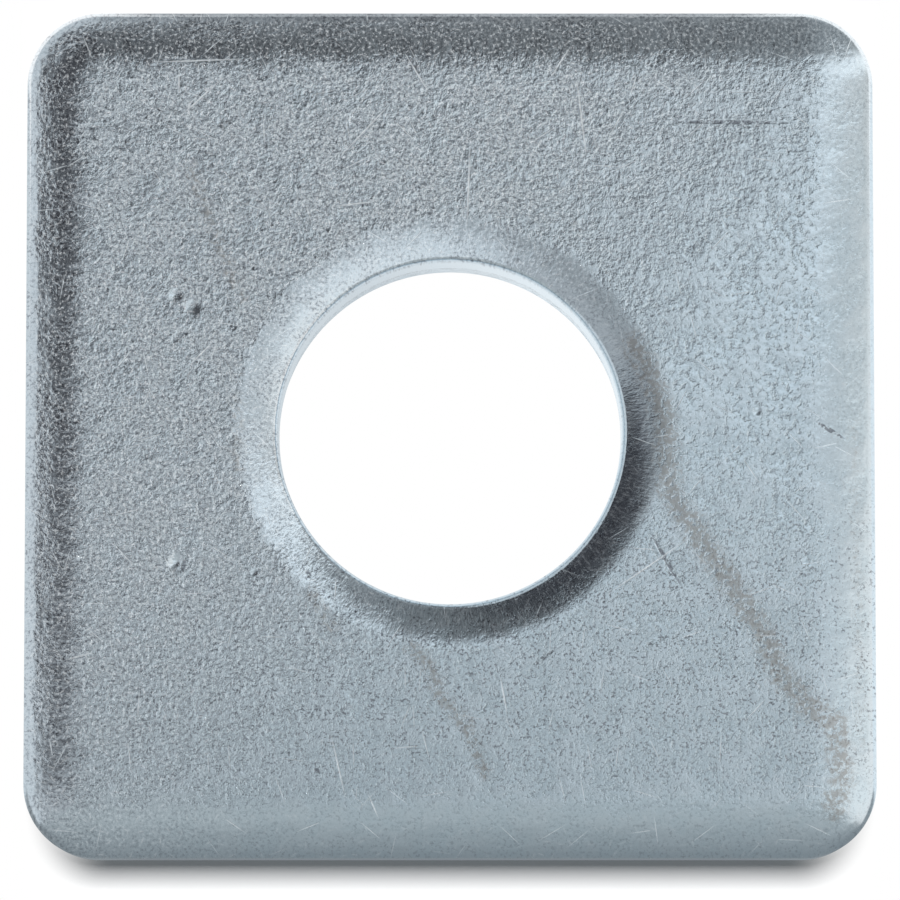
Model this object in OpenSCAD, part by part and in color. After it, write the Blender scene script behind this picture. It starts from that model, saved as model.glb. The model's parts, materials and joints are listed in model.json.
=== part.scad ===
// Square plate washer, blanked and punched from thick steel plate.
// The face that lies up has the rolled edges that the press leaves round the rim and the hole.
// Below each roll come a burnished land and a broken zone that leans away from the edge.
// The origin is the centre of the back face, and the hole's axis is +Z.

/* [Plate] */
// Side of the square, measured over the burnished land
plate_side = 41.3; // [32:0.1:60]
// Thickness of the plate
plate_thickness = 6.35; // [5:0.05:10]
// Radius of the upright corners
corner_radius = 3.6; // [3.2:0.1:9]

/* [Bolt hole] */
// Diameter of the hole at its burnished land
hole_diameter = 16.7; // [10:0.1:26]

/* [Rolled edges] */
// Reach of the rim's roll, in from the side of the plate
rim_roll_width = 3.4; // [1.6:0.1:3.5]
// Drop of the rim's roll, down from the face
rim_roll_depth = 1.2; // [0.8:0.1:1.5]
// Reach of the hole's roll, out from the hole
hole_roll_width = 2.3; // [1.6:0.1:3.5]
// Drop of the hole's roll, down from the face
hole_roll_depth = 0.85; // [0.75:0.05:1.5]

/* [Sheared edges] */
// Height of the burnished land round the rim
rim_land = 2.2; // [1:0.1:3.5]
// Lean of the rim's broken zone, in from the land to the back face
rim_breakout = 0.3; // [0:0.05:0.8]
// Height of the burnished land in the hole
hole_land = 2.6; // [1:0.1:3.5]
// Lean of the hole's broken zone, out from the land to the back face
hole_breakout = 0.15; // [0:0.05:0.8]
// Chamfer that tumbling leaves on the edges of the back face
edge_break = 0.2; // [0.05:0.05:0.5]

/* [Hidden] */
$fn = 128;
// Turn of a roll's gentle first arc, where the tight arc takes over: the small angle of a 5-12-13 triangle
roll_turn = atan2(5, 12);
// How far a trimming square overshoots the arc that it trims
trim = 1;
// How far the flat web's edge and an edge section share the same steel
lap = 0.1;
hole_radius = hole_diameter / 2;
// A roll is no wider than the corner that it turns round
rim_width = min(rim_roll_width, corner_radius);
face_side = plate_side - 2 * rim_width;
straight_length = plate_side - 2 * corner_radius;
corner_centre = straight_length / 2;
// Round a corner the shared steel ends at the corner's axis
corner_lap = min(lap, corner_radius - rim_width);

// The gentle arc's radius less the tight arc's, for a roll of this width and depth
function radius_step(width, depth) = (width - depth) / (sin(roll_turn) + cos(roll_turn) - 1);
function tight_radius(width, depth) = width - radius_step(width, depth) * sin(roll_turn);
function gentle_radius(width, depth) = tight_radius(width, depth) + radius_step(width, depth);

// Section of one edge, from the end of the flat face at x = 0 out to the land at x = width
module edge_section(width, depth, land, breakout, shared) {
    tight = tight_radius(width, depth);
    gentle = gentle_radius(width, depth);
    // Where the two arcs meet
    meet_x = gentle * sin(roll_turn);
    meet_z = plate_thickness - gentle * (1 - cos(roll_turn));
    land_top = plate_thickness - depth;
    land_foot = land_top - land;
    intersection() {
        translate([0, plate_thickness - gentle]) circle(gentle);
        translate([0, meet_z]) square([meet_x, plate_thickness - meet_z + trim]);
    }
    intersection() {
        translate([width - tight, land_top]) circle(tight);
        translate([meet_x, land_top]) square([width - meet_x + trim, meet_z - land_top + trim]);
    }
    polygon([
        [-shared, 0],
        [-shared, plate_thickness],
        [0, plate_thickness],
        [0, meet_z],
        [meet_x, meet_z],
        [meet_x, land_top],
        [width, land_top],
        [width, land_foot],
        [width - breakout, edge_break],
        [width - breakout - edge_break, 0]
    ]);
}

module rim_section(shared) {
    edge_section(rim_width, rim_roll_depth, rim_land, rim_breakout, shared);
}

module hole_section() {
    edge_section(hole_roll_width, hole_roll_depth, hole_land, hole_breakout, lap);
}

module rounded_square(side, radius) {
    inner = side - 2 * radius;
    square([side, inner], center = true);
    square([inner, side], center = true);
    if (radius > 0)
        for (x = [-1, 1], y = [-1, 1])
            translate([x, y] * inner / 2) circle(radius);
}

// The middle of the plate, between the rim's roll and the hole's
module flat_web() {
    linear_extrude(plate_thickness)
        difference() {
            rounded_square(face_side, corner_radius - rim_width);
            circle(hole_radius + hole_roll_width);
        }
}

// One straight side of the rim and the corner that follows it
module rim_side_and_corner() {
    translate([plate_side / 2 - rim_width, corner_centre, 0])
        rotate([90, 0, 0])
            linear_extrude(straight_length) rim_section(lap);
    translate([corner_centre, corner_centre, 0])
        rotate_extrude(angle = 90)
            translate([corner_radius - rim_width, 0]) rim_section(corner_lap);
}

// The ring of plate round the hole
module hole_edge() {
    rotate_extrude()
        translate([hole_radius + hole_roll_width, 0])
            mirror([1, 0]) hole_section();
}

module plate_washer() {
    color([0.66, 0.73, 0.77])
        union() {
            flat_web();
            for (quarter = [0:3]) rotate(90 * quarter) rim_side_and_corner();
            hole_edge();
        }
}

plate_washer();
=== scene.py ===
# A square plate washer, stamped from thick steel and zinc plated, lying face up on a white floor.
import json
import math

import bmesh
import bpy
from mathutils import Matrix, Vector
from mathutils.geometry import intersect_point_line

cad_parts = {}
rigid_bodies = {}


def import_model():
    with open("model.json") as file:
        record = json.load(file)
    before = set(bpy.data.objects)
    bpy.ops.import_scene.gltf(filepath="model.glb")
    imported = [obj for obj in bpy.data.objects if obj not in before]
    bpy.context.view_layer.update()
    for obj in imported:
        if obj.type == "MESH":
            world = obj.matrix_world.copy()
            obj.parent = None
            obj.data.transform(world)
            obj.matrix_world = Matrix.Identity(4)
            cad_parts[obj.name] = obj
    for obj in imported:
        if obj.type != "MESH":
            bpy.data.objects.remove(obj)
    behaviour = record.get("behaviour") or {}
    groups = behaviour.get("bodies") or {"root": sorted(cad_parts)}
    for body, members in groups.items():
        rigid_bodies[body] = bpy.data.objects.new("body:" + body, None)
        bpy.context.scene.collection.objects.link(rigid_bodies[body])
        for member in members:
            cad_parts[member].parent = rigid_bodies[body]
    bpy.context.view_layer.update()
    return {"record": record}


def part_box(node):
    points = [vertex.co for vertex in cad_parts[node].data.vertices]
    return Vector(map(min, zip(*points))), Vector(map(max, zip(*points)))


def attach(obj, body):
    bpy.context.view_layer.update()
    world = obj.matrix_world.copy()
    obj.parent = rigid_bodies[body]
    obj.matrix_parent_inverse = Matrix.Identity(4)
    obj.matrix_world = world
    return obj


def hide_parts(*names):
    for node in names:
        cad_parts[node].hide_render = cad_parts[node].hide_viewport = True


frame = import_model()

# The blank is one piece of plate, sheared square with round corners and punched in the middle.
# The press rolls its upper edges over, leaves a burnished land below each roll and breaks the rest away.
MM = 0.001
blank_low, blank_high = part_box("plate_washer")
half_side = (blank_high.x - blank_low.x) / 2
thickness = blank_high.z - blank_low.z
bolt_hole = next(mount for mount in frame["record"]["mounts"] if mount["name"] == "bolt_hole")
hole_radius = bolt_hole["dims"]["r_mm"] * MM
hole_land = bolt_hole["dims"]["length_mm"] * MM
corner_radius = 3.6 * MM
rim_roll_width = 3.4 * MM
rim_roll_depth = 1.2 * MM
rim_land = 2.2 * MM
rim_breakout = 0.3 * MM
hole_roll_width = 2.3 * MM
hole_roll_depth = 0.85 * MM
hole_breakout = 0.15 * MM
hole_dip = 0.03 * MM
edge_break = 0.2 * MM
roll_turn = math.atan2(5, 12)
side_steps = 132
corner_steps = 28
gentle_steps = 12
tight_steps = 9
land_steps = 5
break_steps = 8
face_cuts = 56
back_cuts = 8
smooth_angle = math.radians(30)
weld = MM / 1000


def along(steps):
    """Shares of the way, from just after the start to the end."""
    return [step / steps for step in range(1, steps + 1)]


def edge_section(roll_width, roll_depth, land, breakout, dip=0):
    """Section of one edge from the flat face to the back, as reach out from the flat and height.

    A dip draws the roll's gentle arc down a little sooner.
    """
    radius_step = (roll_width - roll_depth) / (math.sin(roll_turn) + math.cos(roll_turn) - 1)
    tight = roll_width - radius_step * math.sin(roll_turn)
    gentle = tight + radius_step
    land_top = thickness - roll_depth
    land_foot = land_top - land
    points = [(0, thickness)]
    for share in along(gentle_steps):
        turn = roll_turn * share
        drop = gentle * (1 - math.cos(turn)) + dip * math.sin(math.pi * share) ** 2
        points.append((gentle * math.sin(turn), thickness - drop))
    for share in along(tight_steps):
        turn = roll_turn + (math.pi / 2 - roll_turn) * share
        points.append((roll_width - tight * (1 - math.sin(turn)), land_top + tight * math.cos(turn)))
    for share in along(land_steps):
        points.append((roll_width, land_top - land * share))
    for share in along(break_steps):
        points.append((roll_width - breakout * share, land_foot + (edge_break - land_foot) * share))
    points.append((roll_width - breakout - edge_break, 0))
    return points


def draw_section(points):
    """Draws a chain of edges from a single vertex and leaves it selected."""
    bpy.ops.mesh.select_all(action="DESELECT")
    bpy.ops.mesh.primitive_plane_add(size=MM, location=points[0])
    bpy.ops.mesh.merge(type="CENTER")
    for here, there in zip(points, points[1:]):
        step = Vector(there) - Vector(here)
        bpy.ops.mesh.extrude_vertices_move(TRANSFORM_OT_translate={"value": step})
    bpy.ops.mesh.select_linked()


def copy_quarter_round():
    """Copies the selected quarter on to the other three and welds the seams."""
    bpy.ops.mesh.select_linked()
    bpy.ops.mesh.spin(steps=3, dupli=True, angle=1.5 * math.pi, center=(0, 0, 0), axis=(0, 0, 1))
    bpy.ops.mesh.select_all(action="SELECT")
    bpy.ops.mesh.remove_doubles(threshold=weld)


bpy.ops.object.select_all(action="DESELECT")
bpy.ops.mesh.primitive_plane_add(size=MM)
washer = bpy.context.object
washer.name = "zinc_plated_washer"
bpy.ops.object.mode_set(mode="EDIT")
bpy.ops.mesh.delete(type="VERT")

flat_half = half_side - rim_roll_width
corner_centre = half_side - corner_radius
rim_section = edge_section(rim_roll_width, rim_roll_depth, rim_land, rim_breakout)
draw_section([(flat_half + reach, -corner_centre, height) for reach, height in rim_section])
bpy.ops.mesh.extrude_repeat(steps=side_steps, offset=(0, 2 * corner_centre / side_steps, 0))
bpy.ops.mesh.spin(
    steps=corner_steps, angle=-math.pi / 2, center=(corner_centre, corner_centre, 0), axis=(0, 0, 1)
)
copy_quarter_round()

hole_section = edge_section(hole_roll_width, hole_roll_depth, hole_land, hole_breakout, hole_dip)
draw_section([(hole_radius + hole_roll_width - reach, 0, height) for reach, height in hole_section])
bpy.ops.mesh.spin(
    steps=side_steps + corner_steps, angle=math.pi / 2, center=(0, 0, 0), axis=(0, 0, 1)
)
copy_quarter_round()

for height, cuts in ((thickness, face_cuts), (0, back_cuts)):
    bpy.ops.mesh.select_all(action="DESELECT")
    for edge in bmesh.from_edit_mesh(washer.data).edges:
        edge.select = edge.is_boundary and all(abs(end.co.z - height) < weld for end in edge.verts)
    bmesh.update_edit_mesh(washer.data)
    bpy.ops.mesh.bridge_edge_loops(number_cuts=cuts, interpolation="LINEAR")
bpy.ops.mesh.select_all(action="SELECT")
bpy.ops.mesh.normals_make_consistent(inside=False)
bpy.ops.object.mode_set(mode="OBJECT")
bpy.ops.object.shade_smooth_by_angle(angle=smooth_angle)
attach(washer, "root")
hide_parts("plate_washer")

# Handling and tumbling leave dents in the face, and the break leaves a rough lower wall.
# Each dent is the place of its middle, its reach and its depth, in millimetres.
dents = [
    ((-13.25, -6.4), 0.55, 0.17),
    ((-13.3, 6.65), 0.5, 0.05),
    ((-12.5, 6.05), 0.6, 0.065),
    ((-11.1, 15.15), 0.45, 0.025),
    ((14.9, 0.95), 0.25, 0.035),
    ((-9.5, -6.85), 0.25, 0.03),
    ((17.2, -6.35), 0.25, 0.025),
]
dent_margin = 1.2
dent_cuts = 3


def near_dents(place):
    """True where the face needs a finer mesh for a dent."""
    place = place.xy / MM
    return any((place - Vector(middle)).length < dent_margin * reach for middle, reach, depth in dents)


bpy.ops.object.mode_set(mode="EDIT")
bpy.ops.mesh.select_mode(type="FACE")
bpy.ops.mesh.select_all(action="DESELECT")
for face in bmesh.from_edit_mesh(washer.data).faces:
    middle = face.calc_center_median()
    face.select = middle.z > thickness - weld and near_dents(middle)
bmesh.update_edit_mesh(washer.data)
bpy.ops.mesh.subdivide(number_cuts=dent_cuts)
bpy.ops.mesh.select_mode(type="VERT")
for middle, reach, depth in dents:
    bpy.ops.mesh.select_all(action="DESELECT")
    mesh = bmesh.from_edit_mesh(washer.data)
    target = Vector((*middle, thickness / MM)) * MM
    nearest = min(mesh.verts, key=lambda vertex: (vertex.co - target).length_squared)
    nearest.select = True
    bmesh.update_edit_mesh(washer.data)
    bpy.ops.transform.translate(
        value=(0, 0, -depth * MM),
        use_proportional_edit=True,
        proportional_edit_falloff="SMOOTH",
        proportional_size=reach * MM,
    )
bpy.ops.object.mode_set(mode="OBJECT")

face_group = washer.vertex_groups.new(name="upper_face")
break_group = washer.vertex_groups.new(name="broken_wall")
break_margin = 0.2 * MM
break_top = thickness - max(rim_roll_depth + rim_land, hole_roll_depth + hole_land) - break_margin
for vertex in washer.data.vertices:
    if vertex.co.z > thickness - hole_roll_depth / 2:
        face_group.add([vertex.index], 1, "REPLACE")
    elif edge_break < vertex.co.z < break_top:
        break_group.add([vertex.index], 1, "REPLACE")


def roughen(group_name, lump_size, depth, direction, level):
    """Moves a group's vertices by cloudy noise and applies the change."""
    clouds = bpy.data.textures.new(group_name, "CLOUDS")
    clouds.noise_scale = lump_size
    clouds.noise_depth = 2
    rough = washer.modifiers.new(group_name, "DISPLACE")
    rough.texture = clouds
    rough.texture_coords = "LOCAL"
    rough.vertex_group = group_name
    rough.direction = direction
    rough.strength = depth
    rough.mid_level = level
    bpy.ops.object.modifier_apply(modifier=group_name)


roughen("upper_face", lump_size=2.2 * MM, depth=0.03 * MM, direction="Z", level=1)
roughen("broken_wall", lump_size=0.7 * MM, depth=0.16 * MM, direction="NORMAL", level=0.75)

# Stains are brownish trails where something ran over the face and dried.
# Each is a route in millimetres over the face, with its half width and strength.
stain_trails = [
    ([(8.9, 4.3), (9.4, 3.35), (10.4, 0.75), (10.6, -2.95), (12.0, -5.05), (13.6, -7.45), (15.3, -10.05),
      (16.0, -11.95), (17.5, -13.45), (18.6, -14.15), (18.9, -16.85), (18.5, -18.25)], 1.1, 0.9),
    ([(-1.9, -10.45), (-1.0, -11.35), (-0.5, -12.85), (0.8, -14.25), (1.7, -16.65)], 0.7, 0.7),
    ([(-12.6, 12.95), (-11.5, 9.75), (-10.6, 7.65), (-10.2, 6.35)], 0.9, 0.5),
    ([(-10.3, 1.55), (-10.3, -1.85)], 0.7, 0.5),
    ([(-6.8, -7.75), (-5.6, -9.65)], 0.6, 0.6),
    ([(19.6, 0.15), (19.9, -15.35)], 0.8, 0.35),
    ([(6.0, 10.15), (6.2, 9.95)], 0.4, 0.5),
]


def trail_share(place, route, half_width):
    """1 on a trail's line, falling to 0 at half its width away."""
    gaps = []
    for start, end in zip(route, route[1:]):
        foot, share = intersect_point_line(place, Vector(start), Vector(end))
        nearest = foot if 0 < share < 1 else Vector(start if share <= 0 else end)
        gaps.append((place - nearest).length)
    return max(0, 1 - min(gaps) / half_width)


upper_places = {
    vertex.index: vertex.co.xy / MM
    for vertex in washer.data.vertices
    if vertex.co.z > thickness - rim_roll_depth
}
stain = washer.data.attributes.new("stain", "FLOAT", "POINT")
for index, place in upper_places.items():
    stain.data[index].value = max(
        strength * trail_share(place, *trail) for *trail, strength in stain_trails
    )
dent = washer.data.attributes.new("dent", "FLOAT", "POINT")
for index, place in upper_places.items():
    dent.data[index].value = max(
        1 - (place - Vector(middle)).length / reach for middle, reach, depth in dents
    )

# The longer scratches and dark scores that stand out, each from its start to its end in millimetres.
# The mesh carries each one's own coordinates, along and across it; lines that lie close are in two sets.
standing_lines = {
    "scratch": [
        ((1.0, 14.55), (0.8, 9.35)),
        ((-2.4, 18.85), (-0.9, 16.35)),
        ((6.1, 17.85), (6.7, 12.85)),
        ((-5.5, 13.25), (-2.7, 16.25)),
        ((-5.9, 10.95), (-3.4, 11.25)),
        ((-15.1, 18.05), (-9.5, 18.25)),
        ((-12.7, 3.15), (-11.4, 4.45)),
        ((-18.8, -11.15), (-17.2, -10.75)),
        ((7.3, -8.15), (11.8, -5.05)),
        ((2.4, -11.75), (2.8, -13.95)),
        ((-5.8, -14.45), (-5.0, -17.95)),
        ((-4.0, -17.45), (-3.4, -18.85)),
    ],
    "second_scratch": [
        ((6.0, 19.05), (4.8, 17.15)),
        ((-13.4, 15.15), (-10.9, 17.45)),
        ((-13.2, 17.75), (-13.2, 16.45)),
    ],
    "score": [
        ((10.3, 15.15), (17.0, 15.1)),
        ((9.6, -4.75), (11.3, -7.75)),
        ((3.8, -11.55), (5.1, -10.55)),
        ((17.6, 0.55), (19.3, -0.45)),
        ((-6.6, -16.35), (-6.2, -16.55)),
        ((-12.95, -6.9), (-12.8, -6.1)),
        ((-7.0, -6.75), (-6.7, -7.15)),
    ],
}
line_half_widths = {"scratch": 0.05, "second_scratch": 0.05, "score": 0.13}
line_margin = 0.6
far_away = Vector((30, 30, 0))


def line_place(place, lines, half_width):
    """Coordinates along and across the line that passes near a place, both 1 at the line's edge."""
    for start, end in lines:
        start, end = Vector(start), Vector(end)
        half = (end - start) / 2
        local = place - (start + end) / 2
        along_line = local.dot(half.normalized())
        across_line = local.cross(half.normalized())
        if abs(along_line) < half.length + line_margin and abs(across_line) < line_margin:
            return Vector((along_line / half.length, across_line / half_width, 0))
    return far_away


for name, lines in standing_lines.items():
    line_map = washer.data.attributes.new(name, "FLOAT_VECTOR", "POINT")
    for value in line_map.data:
        value.vector = far_away
    for index, place in upper_places.items():
        line_map.data[index].vector = line_place(place, lines, line_half_widths[name])


# The zinc plating is a bluish metal over a finely pebbled face.
# Tumbling leaves its grain, short scratches and flecks.
class Field:
    """One output of a shader node, so that a sum of fields adds Math nodes."""

    def __init__(self, socket):
        self.socket = socket

    def other(self, name):
        """Another output of the same node."""
        return Field(self.socket.node.outputs[name])

    def math(self, operation, *others):
        """Adds a Math node that works on this field and the others."""
        node = self.socket.id_data.nodes.new("ShaderNodeMath")
        node.operation = operation
        for socket, value in zip(node.inputs, (self, *others)):
            plug(socket, value)
        return Field(node.outputs[0])

    def __add__(self, other):
        return self.math("ADD", other)

    def __sub__(self, other):
        return self.math("SUBTRACT", other)

    def __mul__(self, other):
        return self.math("MULTIPLY", other)

    def __truediv__(self, other):
        return self.math("DIVIDE", other)

    def __rsub__(self, other):
        return (self * -1) + other

    __radd__ = __add__
    __rmul__ = __mul__

    def most(self, other):
        """The larger of two fields."""
        return self.math("MAXIMUM", other)

    def ramp(self, start, end):
        """Goes smoothly from 0 at start to 1 at end."""
        node = self.socket.id_data.nodes.new("ShaderNodeMapRange")
        node.interpolation_type = "SMOOTHSTEP"
        low, high = min(start, end), max(start, end)
        for name, value in (("Value", self), ("From Min", low), ("From Max", high)):
            plug(node.inputs[name], value)
        rising = Field(node.outputs[0])
        return rising if start < end else 1 - rising


def plug(socket, value):
    """Links a field to a socket, or sets the socket's own value."""
    if isinstance(value, Field):
        socket.id_data.links.new(value.socket, socket)
    else:
        socket.default_value = value


class Finish:
    """The node tree of a material or of the world, with one method that adds any node."""

    def __init__(self, owner):
        owner.use_nodes = True
        self.tree = owner.node_tree
        self.tree.nodes.clear()

    def add(self, kind, sockets, out=0, stops=(), **settings):
        """Adds a node with its settings, then the values or links of its sockets."""
        node = self.tree.nodes.new("ShaderNode" + kind)
        for name, value in settings.items():
            setattr(node, name, value)
        if stops:
            elements = node.color_ramp.elements
            for place, colour in stops[len(elements):]:
                elements.new(place)
            for element, (place, colour) in zip(elements, stops):
                element.position = place
                element.color = (*colour, 1)
        for name, value in sockets.items():
            plug(node.inputs[name], value)
        return Field(node.outputs[out]) if node.outputs else None

    def vector(self, operation, first, second=(0, 0, 0), out="Vector"):
        return self.add("VectorMath", {0: first, 1: second}, out=out, operation=operation)

    def noise(self, place, size, detail=2, roughness=0.5, **settings):
        """Cloudy noise whose lumps are about this size."""
        sockets = {"Vector": place, "Scale": 1 / size, "Detail": detail, "Roughness": roughness}
        return self.add("TexNoise", sockets, **settings)

    def spindle(self, place):
        """1 at the middle of a unit circle, falling to 0 at its edge."""
        return self.add("TexGradient", {"Vector": place}, out=1, gradient_type="SPHERICAL")

    def mix(self, share, first, second):
        """The first colour where the share is 0, and the second where it is 1."""
        return self.add("Mix", {0: share, 6: first, 7: second}, out=2, data_type="RGBA")


zinc_material = bpy.data.materials.new("zinc_plating")
zinc = Finish(zinc_material)
spot = zinc.vector("DIVIDE", zinc.add("TexCoord", {}, out="Object"), (MM, MM, MM))
level = zinc.add("SeparateXYZ", {0: spot}, out="Z")
flat_spot = zinc.vector("MULTIPLY", spot, (1, 1, 0))
from_axis = zinc.vector("LENGTH", flat_spot, out="Value")
corner_spot = (corner_centre / MM, corner_centre / MM, 0)
past_corner = zinc.vector("SUBTRACT", zinc.vector("ABSOLUTE", flat_spot), corner_spot)
past_corner = zinc.vector("MAXIMUM", past_corner, (0, 0, 0))
from_rim = corner_radius / MM - zinc.vector("LENGTH", past_corner, out="Value")

faces = level.ramp(4.9, 5.4).most(level.ramp(0.15, 0.05))
burnished_lip = from_rim.ramp(0.6, 0.4).most(from_axis.ramp(8.55, 8.4))
hole_mouth = from_axis.ramp(10.9, 10.0)

face_grain = zinc.noise(flat_spot, 0.3, detail=3, roughness=0.65, noise_dimensions="2D")
speckle = zinc.noise(flat_spot, 0.16, detail=2, roughness=0.7, noise_dimensions="2D")
round_hole = zinc.vector("NORMALIZE", flat_spot)
mouth_place = zinc.add("CombineXYZ", {"Z": from_axis / 2.2})
mouth_place = zinc.vector("ADD", zinc.vector("MULTIPLY", round_hole, (10, 10, 0)), mouth_place)
mouth_grain = zinc.noise(mouth_place, 0.12, detail=2, roughness=0.6)
wall_place = zinc.vector("MULTIPLY", spot, (1, 1, 0.05))
draw_lines = zinc.noise(wall_place, 0.14, detail=2)
break_grain = zinc.noise(spot, 0.3, detail=3, roughness=0.6)
mottle = zinc.noise(flat_spot, 1.7, detail=3, roughness=0.6, noise_dimensions="2D")
broken = (level + (mottle - 0.5) * 1.5).ramp(3.05, 2.85)


def line_share(name):
    """1 in the middle of a standing line, 0 at its edge and beyond."""
    return zinc.spindle(zinc.add("Attribute", {}, out="Vector", attribute_name=name))


def cell_scratches(size, length, width):
    """One straight scratch in each cell of a scattered pattern, each at its own turn."""
    cell = zinc.add(
        "TexVoronoi", {"Vector": flat_spot, "Scale": 1 / size}, out="Position", voronoi_dimensions="2D"
    )
    chance = zinc.add("SeparateColor", {0: cell.other("Color")}, out="Red")
    local = zinc.vector("SUBTRACT", flat_spot, cell)
    turned = zinc.add("VectorRotate", {"Vector": local, "Angle": chance * 20}, rotation_type="Z_AXIS")
    return zinc.spindle(zinc.vector("DIVIDE", turned, (length, width, 1))) * chance.other("Green")


hairlines = cell_scratches(1.9, 0.9, 0.03) * 0.9
flecks = cell_scratches(0.6, 0.26, 0.06)
scratches = hairlines.most(line_share("scratch")).most(line_share("second_scratch")) * faces
scores = line_share("score").ramp(0, 0.5) * face_grain.ramp(0.4, 0.55)

worn = mottle.ramp(0.4, 0.62)
sheltered = zinc.vector("DOT_PRODUCT", flat_spot, (-0.75, 0.66, 0), out="Value").ramp(-10, 9)
dented = zinc.add("Attribute", {}, out="Fac", attribute_name="dent").ramp(0, 0.5)
up_face = zinc.add("SeparateXYZ", {0: spot}, out="Y")
low_face = up_face.ramp(1, -8) * (up_face.ramp(-18.5, -14) * 0.6 + 0.4)
rolled = from_rim.ramp(3.4, 1.9)
clusters = zinc.noise(flat_spot, 0.7, detail=2, roughness=0.6, noise_dimensions="2D").ramp(0.36, 0.62)
pebbles = (face_grain.ramp(0.25, 0.7) - 0.5) * (clusters * 0.03 + 0.04) + (clusters - 0.5) * 0.024
pebbles = pebbles * sheltered
pits = (face_grain.ramp(0.24, 0.5) - 0.8) * (1 - sheltered) * 0.024
fine_pits = (speckle.ramp(0.32, 0.5) - 0.7) * low_face * 0.016
relief = (pebbles + pits + fine_pits) * (1 - worn * 0.55) * (1 - hole_mouth * 0.85) * (1 - dented * 0.8)
relief = relief + (mouth_grain - 0.5) * hole_mouth * 0.008
waves = (mottle - 0.5) * (1 - hole_mouth * 0.7) * 0.05
relief = (relief * (1 - rolled * 0.8) + waves) * (1 - burnished_lip) * faces
relief = relief - scratches * 0.006 - scores * 0.03
wall_relief = (draw_lines - 0.5) * 0.008 * (1 - broken) + (break_grain - 0.5) * broken * 0.08
relief = relief + wall_relief * (1 - faces)
bump = zinc.add("Bump", {"Height": relief, "Distance": MM, "Strength": 1})

stain_patch = zinc.noise(flat_spot, 0.3, detail=3, roughness=0.7, noise_dimensions="2D")
stain_share = zinc.add("Attribute", {}, out="Fac", attribute_name="stain") * (stain_patch * 5 - 1.6)
stain_share = stain_share.ramp(0.12, 1.0)
tint = zinc.mix(sheltered, (0.74, 0.825, 0.875, 1), (0.765, 0.805, 0.835, 1))
tint = zinc.mix(worn * 0.5, tint, (0.79, 0.85, 0.89, 1))
dark_specks = speckle.ramp(0.52, 0.3) * (sheltered * 0.5 + 0.24) * (1 - worn * 0.6)
# The grain's hollows and the pits low on the face are darker in colour, more so towards the upper left.
hollow_darkening = face_grain.ramp(0.38, 0.28) * (sheltered * 0.2 + 0.25)
hollow_darkening = hollow_darkening.most(speckle.ramp(0.48, 0.34) * low_face * clusters * 0.85)
darker_hollows_and_specks = dark_specks.most(hollow_darkening) * (1 - dented)
tint = zinc.mix(darker_hollows_and_specks.most(scores * 0.9) * faces, tint, (0.28, 0.29, 0.32, 1))
bright_flecks = flecks * (sheltered * 0.5 + 0.2) * faces
tint = zinc.mix((scratches * 0.8).most(bright_flecks), tint, (0.86, 0.89, 0.91, 1))
colour = zinc.mix(stain_share * 0.6, tint, (0.40, 0.35, 0.31, 1))
roughness = mottle * 0.1 + scratches * 0.25 + stain_share * 0.15 - hole_mouth * 0.05 + 0.16
mouth_glints = mouth_grain.ramp(0.48, 0.7) * hole_mouth * 0.08
roll_glints = speckle.ramp(0.47, 0.68) * rolled * sheltered.most(up_face.ramp(8, 17)) * 0.16
glints = (speckle.ramp(0.58, 0.7) * sheltered * 0.4).most(mouth_glints) * (1 - burnished_lip)
glints = glints.most(roll_glints) * faces
metal = zinc.add(
    "BsdfPrincipled",
    {
        "Base Color": colour,
        "Metallic": 1 - (scratches * 0.5).most(glints).most(bright_flecks * 0.6),
        "Roughness": roughness,
        "Normal": bump,
    },
)
zinc.add("OutputMaterial", {"Surface": metal})
washer.data.materials.append(zinc_material)

# The floor is a sheet of white paper, wide enough to fill any view, and a lamp high above lights it.
# To the camera it is painted plain white in the hole, beside the washer and far out, over the washer's
# shadow there, and keeps a shadow before and behind it.
# To the metal it glows in painted reflection: grey before and behind the washer and, as painted shade, at
# one side of the hole; pale beside it, and brighter than white past the far corners as a painted glint.
floor_reach = 40
floor_gap = 0.01 * MM
paper_colour = (0.9, 0.9, 0.9, 1)
plain_white = (1, 1, 1, 1)
hole_edge = hole_radius + 0.5 * MM
edge_blur = 0.1 * MM
bpy.ops.mesh.primitive_plane_add(size=floor_reach, location=(0, 0, -floor_gap))
floor = bpy.context.object
floor.name = "floor"
paper_material = bpy.data.materials.new("white_paper_with_painted_reflection")
paper = Finish(paper_material)
sheet = paper.add("BsdfDiffuse", {"Color": paper_colour})
ray = paper.add("LightPath", {}, out="Is Camera Ray")
paper_spot = paper.add("TexCoord", {}, out="Object")
rightward = paper.add("SeparateXYZ", {0: paper_spot}, out="X")
farward = rightward.other("Y")
sideways = paper.add("SeparateXYZ", {0: paper.vector("ABSOLUTE", paper_spot)}, out="X")
lengthways = sideways.other("Y")
from_hole = paper.vector("LENGTH", paper.vector("MULTIPLY", paper_spot, (1, 1, 0)), out="Value")
in_hole = from_hole.ramp(hole_edge + edge_blur, hole_edge)
far_sheet = lengthways.ramp(23 * MM, 30 * MM)
painted_white_sheet = paper.add("Emission", {"Color": plain_white, "Strength": 1})
past_corners = sideways.ramp(16.5 * MM, 21.5 * MM)
to_right = rightward.ramp(-5 * MM, 5 * MM)
to_far_side = farward.ramp(-5 * MM, 5 * MM)
past_ends = lengthways.ramp(17.5 * MM, 20 * MM)
by_corner = sideways.ramp(14.5 * MM, 18 * MM)
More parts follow.
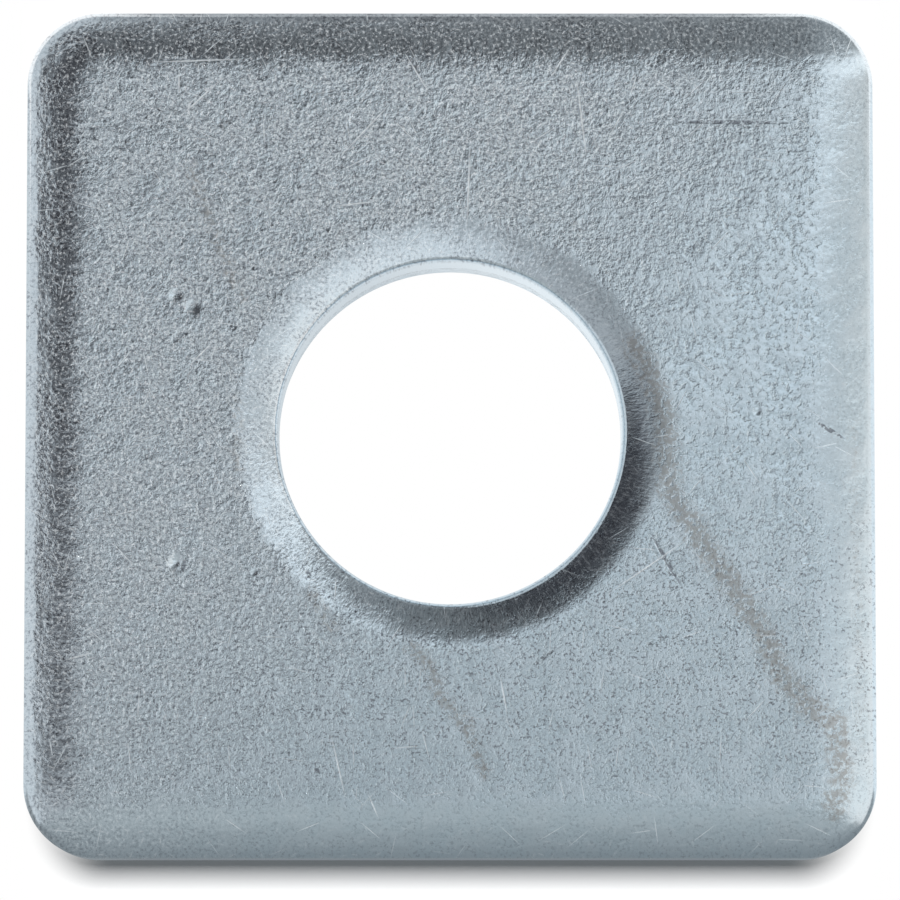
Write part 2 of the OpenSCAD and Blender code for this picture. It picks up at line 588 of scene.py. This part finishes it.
# Painted reflection tones, seen only by the metal: painted shade before and behind and by the hole, a
# painted glint past the far corners.
side_tone = paper.mix(to_right, (0.68, 0.74, 0.78, 1), (0.88, 0.94, 0.98, 1))
end_tone = paper.mix(to_far_side, (0.25, 0.27, 0.29, 1), (0.45, 0.47, 0.49, 1))
corner_tone = paper.mix(to_far_side, (0.30, 0.33, 0.35, 1), (1.15, 1.15, 1.15, 1))
near_right = paper.vector("DOT_PRODUCT", paper_spot, (0.5, -0.87, 0), out="Value") / hole_radius
hole_shade = in_hole * near_right.ramp(0.7, 1.0)
side_tone = paper.mix(hole_shade, side_tone, (0.30, 0.32, 0.35, 1))
painted_reflection_tone = paper.mix(past_ends, side_tone, paper.mix(by_corner, end_tone, corner_tone))
painted_reflection_sheet = paper.add("Emission", {"Color": painted_reflection_tone, "Strength": 1})
seen_white = ray * in_hole.most(past_corners).most(far_sheet)
sheet = paper.add("MixShader", {0: seen_white, 1: sheet, 2: painted_white_sheet})
sheet = paper.add("MixShader", {0: ray.other("Is Glossy Ray"), 1: sheet, 2: painted_reflection_sheet})
under_sheet = paper.add("NewGeometry", {}, out="Backfacing") * ray
sheet = paper.add("MixShader", {0: under_sheet, 1: sheet, 2: paper.add("BsdfTransparent", {})})
paper.add("OutputMaterial", {"Surface": sheet})
paper_material.cycles.emission_sampling = "NONE"
floor.data.materials.append(paper_material)

lamp_height = 0.6
lamp_lean = math.radians(6.2)
lamp_width = 0.03
lamp_length = 0.14
lamp_watts = 3.7
bpy.ops.object.light_add(type="AREA", location=(0, lamp_height * math.tan(lamp_lean), lamp_height))
lamp = bpy.context.object
lamp.name = "overhead_lamp"
lamp.data.shape = "RECTANGLE"
lamp.data.size = lamp_width
lamp.data.size_y = lamp_length
lamp.data.energy = lamp_watts
lamp.visible_glossy = False
lamp.visible_camera = False

# A dome that glows stands round the washer, seen only in the metal's reflections, and most of what the
# metal mirrors is this painted reflection.
# It is bright to the right, dark to the left and the far side, and pale again low on the left.
dome_radius = 300 * MM
dome_strength = 1.38
bpy.ops.mesh.primitive_uv_sphere_add(segments=64, ring_count=32, radius=dome_radius)
reflection_dome = bpy.context.object
reflection_dome.name = "painted_reflection_dome"
dome_material = bpy.data.materials.new("painted_reflection_glow")
dome_paint = Finish(dome_material)
way = dome_paint.vector("DIVIDE", dome_paint.add("TexCoord", {}, out="Object"), (dome_radius,) * 3)
bright_side = Vector((0.94, -0.34, 0))
dark_side = Vector((-0.34, 0.94, 0))
across = dome_paint.vector("DOT_PRODUCT", way, bright_side, out="Value")
beyond = dome_paint.vector("DOT_PRODUCT", way, dark_side, out="Value")
glow = dome_paint.add(
    "ValToRGB",
    {0: across * 0.5 + 0.5},
    stops=[
        (0.00, (0.56, 0.61, 0.65)),
        (0.15, (0.56, 0.61, 0.65)),
        (0.18, (0.06, 0.06, 0.07)),
        (0.20, (0.0, 0.0, 0.01)),
        (0.29, (0.0, 0.0, 0.01)),
        (0.335, (0.21, 0.22, 0.24)),
        (0.39, (0.37, 0.40, 0.42)),
        (0.44, (0.45, 0.49, 0.52)),
        (0.475, (0.52, 0.57, 0.61)),
        (0.53, (0.745, 0.82, 0.875)),
        (0.70, (0.88, 0.95, 0.99)),
        (0.85, (0.97, 1.0, 1.0)),
        (1.00, (1.0, 1.0, 1.0)),
    ],
)
shade = dome_paint.add(
    "ValToRGB",
    {0: beyond * 0.5 + 0.5},
    stops=[
        (0.00, (0.62, 0.62, 0.62)),
        (0.28, (0.68, 0.68, 0.68)),
        (0.38, (0.69, 0.69, 0.69)),
        (0.45, (0.40, 0.40, 0.40)),
        (0.51, (0.42, 0.42, 0.42)),
        (0.54, (0.86, 0.86, 0.86)),
        (0.60, (0.92, 0.92, 0.92)),
        (0.64, (0.38, 0.38, 0.38)),
        (0.66, (0.18, 0.18, 0.18)),
        (0.69, (0.23, 0.23, 0.23)),
        (0.74, (0.26, 0.26, 0.26)),
        (0.84, (0.27, 0.27, 0.27)),
        (0.88, (0.44, 0.44, 0.44)),
        (0.98, (0.50, 0.50, 0.50)),
    ],
)
glow = dome_paint.vector("MULTIPLY", glow, shade)
# Patches of painted reflection, dark or pale, on the left of the dome.
westward = dome_paint.add("SeparateXYZ", {0: way}, out="X")
near_left = westward.ramp(-0.15, -0.35) * westward.other("Y").ramp(0.045, -0.06)
glow = dome_paint.mix(near_left, glow, (0.29, 0.31, 0.33, 1))
to_far_left = dome_paint.vector("DOT_PRODUCT", way, (-0.6, 0.8, 0), out="Value")
far_left = to_far_left.ramp(0.26, 0.35) * westward.ramp(-0.05, -0.15)
high_up = westward.other("Z").ramp(0.60, 0.70)
far_left_tone = dome_paint.mix(high_up, (0.42, 0.46, 0.49, 1), (0.03, 0.03, 0.035, 1))
glow = dome_paint.mix(far_left, glow, far_left_tone)
low_left = westward.ramp(-0.655, -0.71) * westward.other("Y").ramp(0.38, 0.24)
glow = dome_paint.mix(low_left, glow, (0.48, 0.52, 0.55, 1))
dome_paint.add("OutputMaterial", {"Surface": dome_paint.add("Emission", {"Color": glow, "Strength": dome_strength})})
dome_material.cycles.emission_sampling = "NONE"
reflection_dome.data.materials.append(dome_material)

# A grey card that glows stands along the near side of the washer, seen only in the metal's reflections, as
# painted shade for a shadowed floor there.
# It is darker towards its foot, and it keeps the near edge's roll dim.
shade_card_distance = 22 * MM
shade_card_width = 2.4 * half_side
shade_card_height = 34 * MM
bpy.ops.mesh.primitive_plane_add(size=1)
shade_card = bpy.context.object
shade_card.name = "painted_shade_card"
bpy.ops.transform.resize(value=(shade_card_width, shade_card_height, 1))
bpy.ops.transform.rotate(value=math.pi / 2, orient_axis="X", center_override=(0, 0, 0))
bpy.ops.transform.translate(value=(0, -shade_card_distance, shade_card_height / 2))
bpy.ops.object.transform_apply()
shade_card_material = bpy.data.materials.new("painted_shade_glow")
card_paint = Finish(shade_card_material)
card_level = card_paint.add("SeparateXYZ", {0: card_paint.add("TexCoord", {}, out="Object")}, out="Z")
# The painted shade is darker towards the card's foot.
painted_shade_tone = card_paint.mix(card_level.ramp(4.5 * MM, 16 * MM), (0.25, 0.28, 0.30, 1), (0.44, 0.485, 0.505, 1))
card_paint.add("OutputMaterial", {"Surface": card_paint.add("Emission", {"Color": painted_shade_tone, "Strength": 1})})
shade_card_material.cycles.emission_sampling = "NONE"
shade_card.data.materials.append(shade_card_material)

for backing in (reflection_dome, shade_card):
    backing.visible_camera = False
    backing.visible_diffuse = False
    backing.visible_shadow = False

# The studio round the dome is dim, and fills the lamp's shadow on the floor a little.
# Seen past the floor, it is plain white.
room_level = 0.15
world = bpy.data.worlds.new("studio")
bpy.context.scene.world = world
studio = Finish(world)
backdrop = studio.add("Background", {"Color": plain_white, "Strength": room_level})
white = studio.add("Background", {"Color": plain_white, "Strength": 1})
seen = studio.add("LightPath", {}, out="Is Camera Ray")
seen = seen.most(seen.other("Is Glossy Ray")).most(seen.other("Is Transmission Ray"))
studio.add("OutputWorld", {"Surface": studio.add("MixShader", {0: seen, 1: backdrop, 2: white})})

# The camera stands a little to the near side of overhead, so that a strip of the bore's wall shows.
# Its long lens fills the picture with the plate.
frame_pixels = 900
plate_pixels = 852.5
camera_distance = 320 * MM
camera_tilt = math.radians(5.5)
aim_nearer = 0.92 * MM
aim = Vector((0, -aim_nearer, thickness))
bpy.ops.object.camera_add(
    location=aim + camera_distance * Vector((0, -math.sin(camera_tilt), math.cos(camera_tilt))),
    rotation=(camera_tilt, 0, 0),
)
camera = bpy.context.object
picture_width = 2 * half_side * frame_pixels / plate_pixels
camera.data.lens = camera.data.sensor_width * camera_distance / picture_width
camera.data.clip_start = MM
bpy.context.scene.camera = camera
bpy.context.scene.view_settings.view_transform = "Standard"
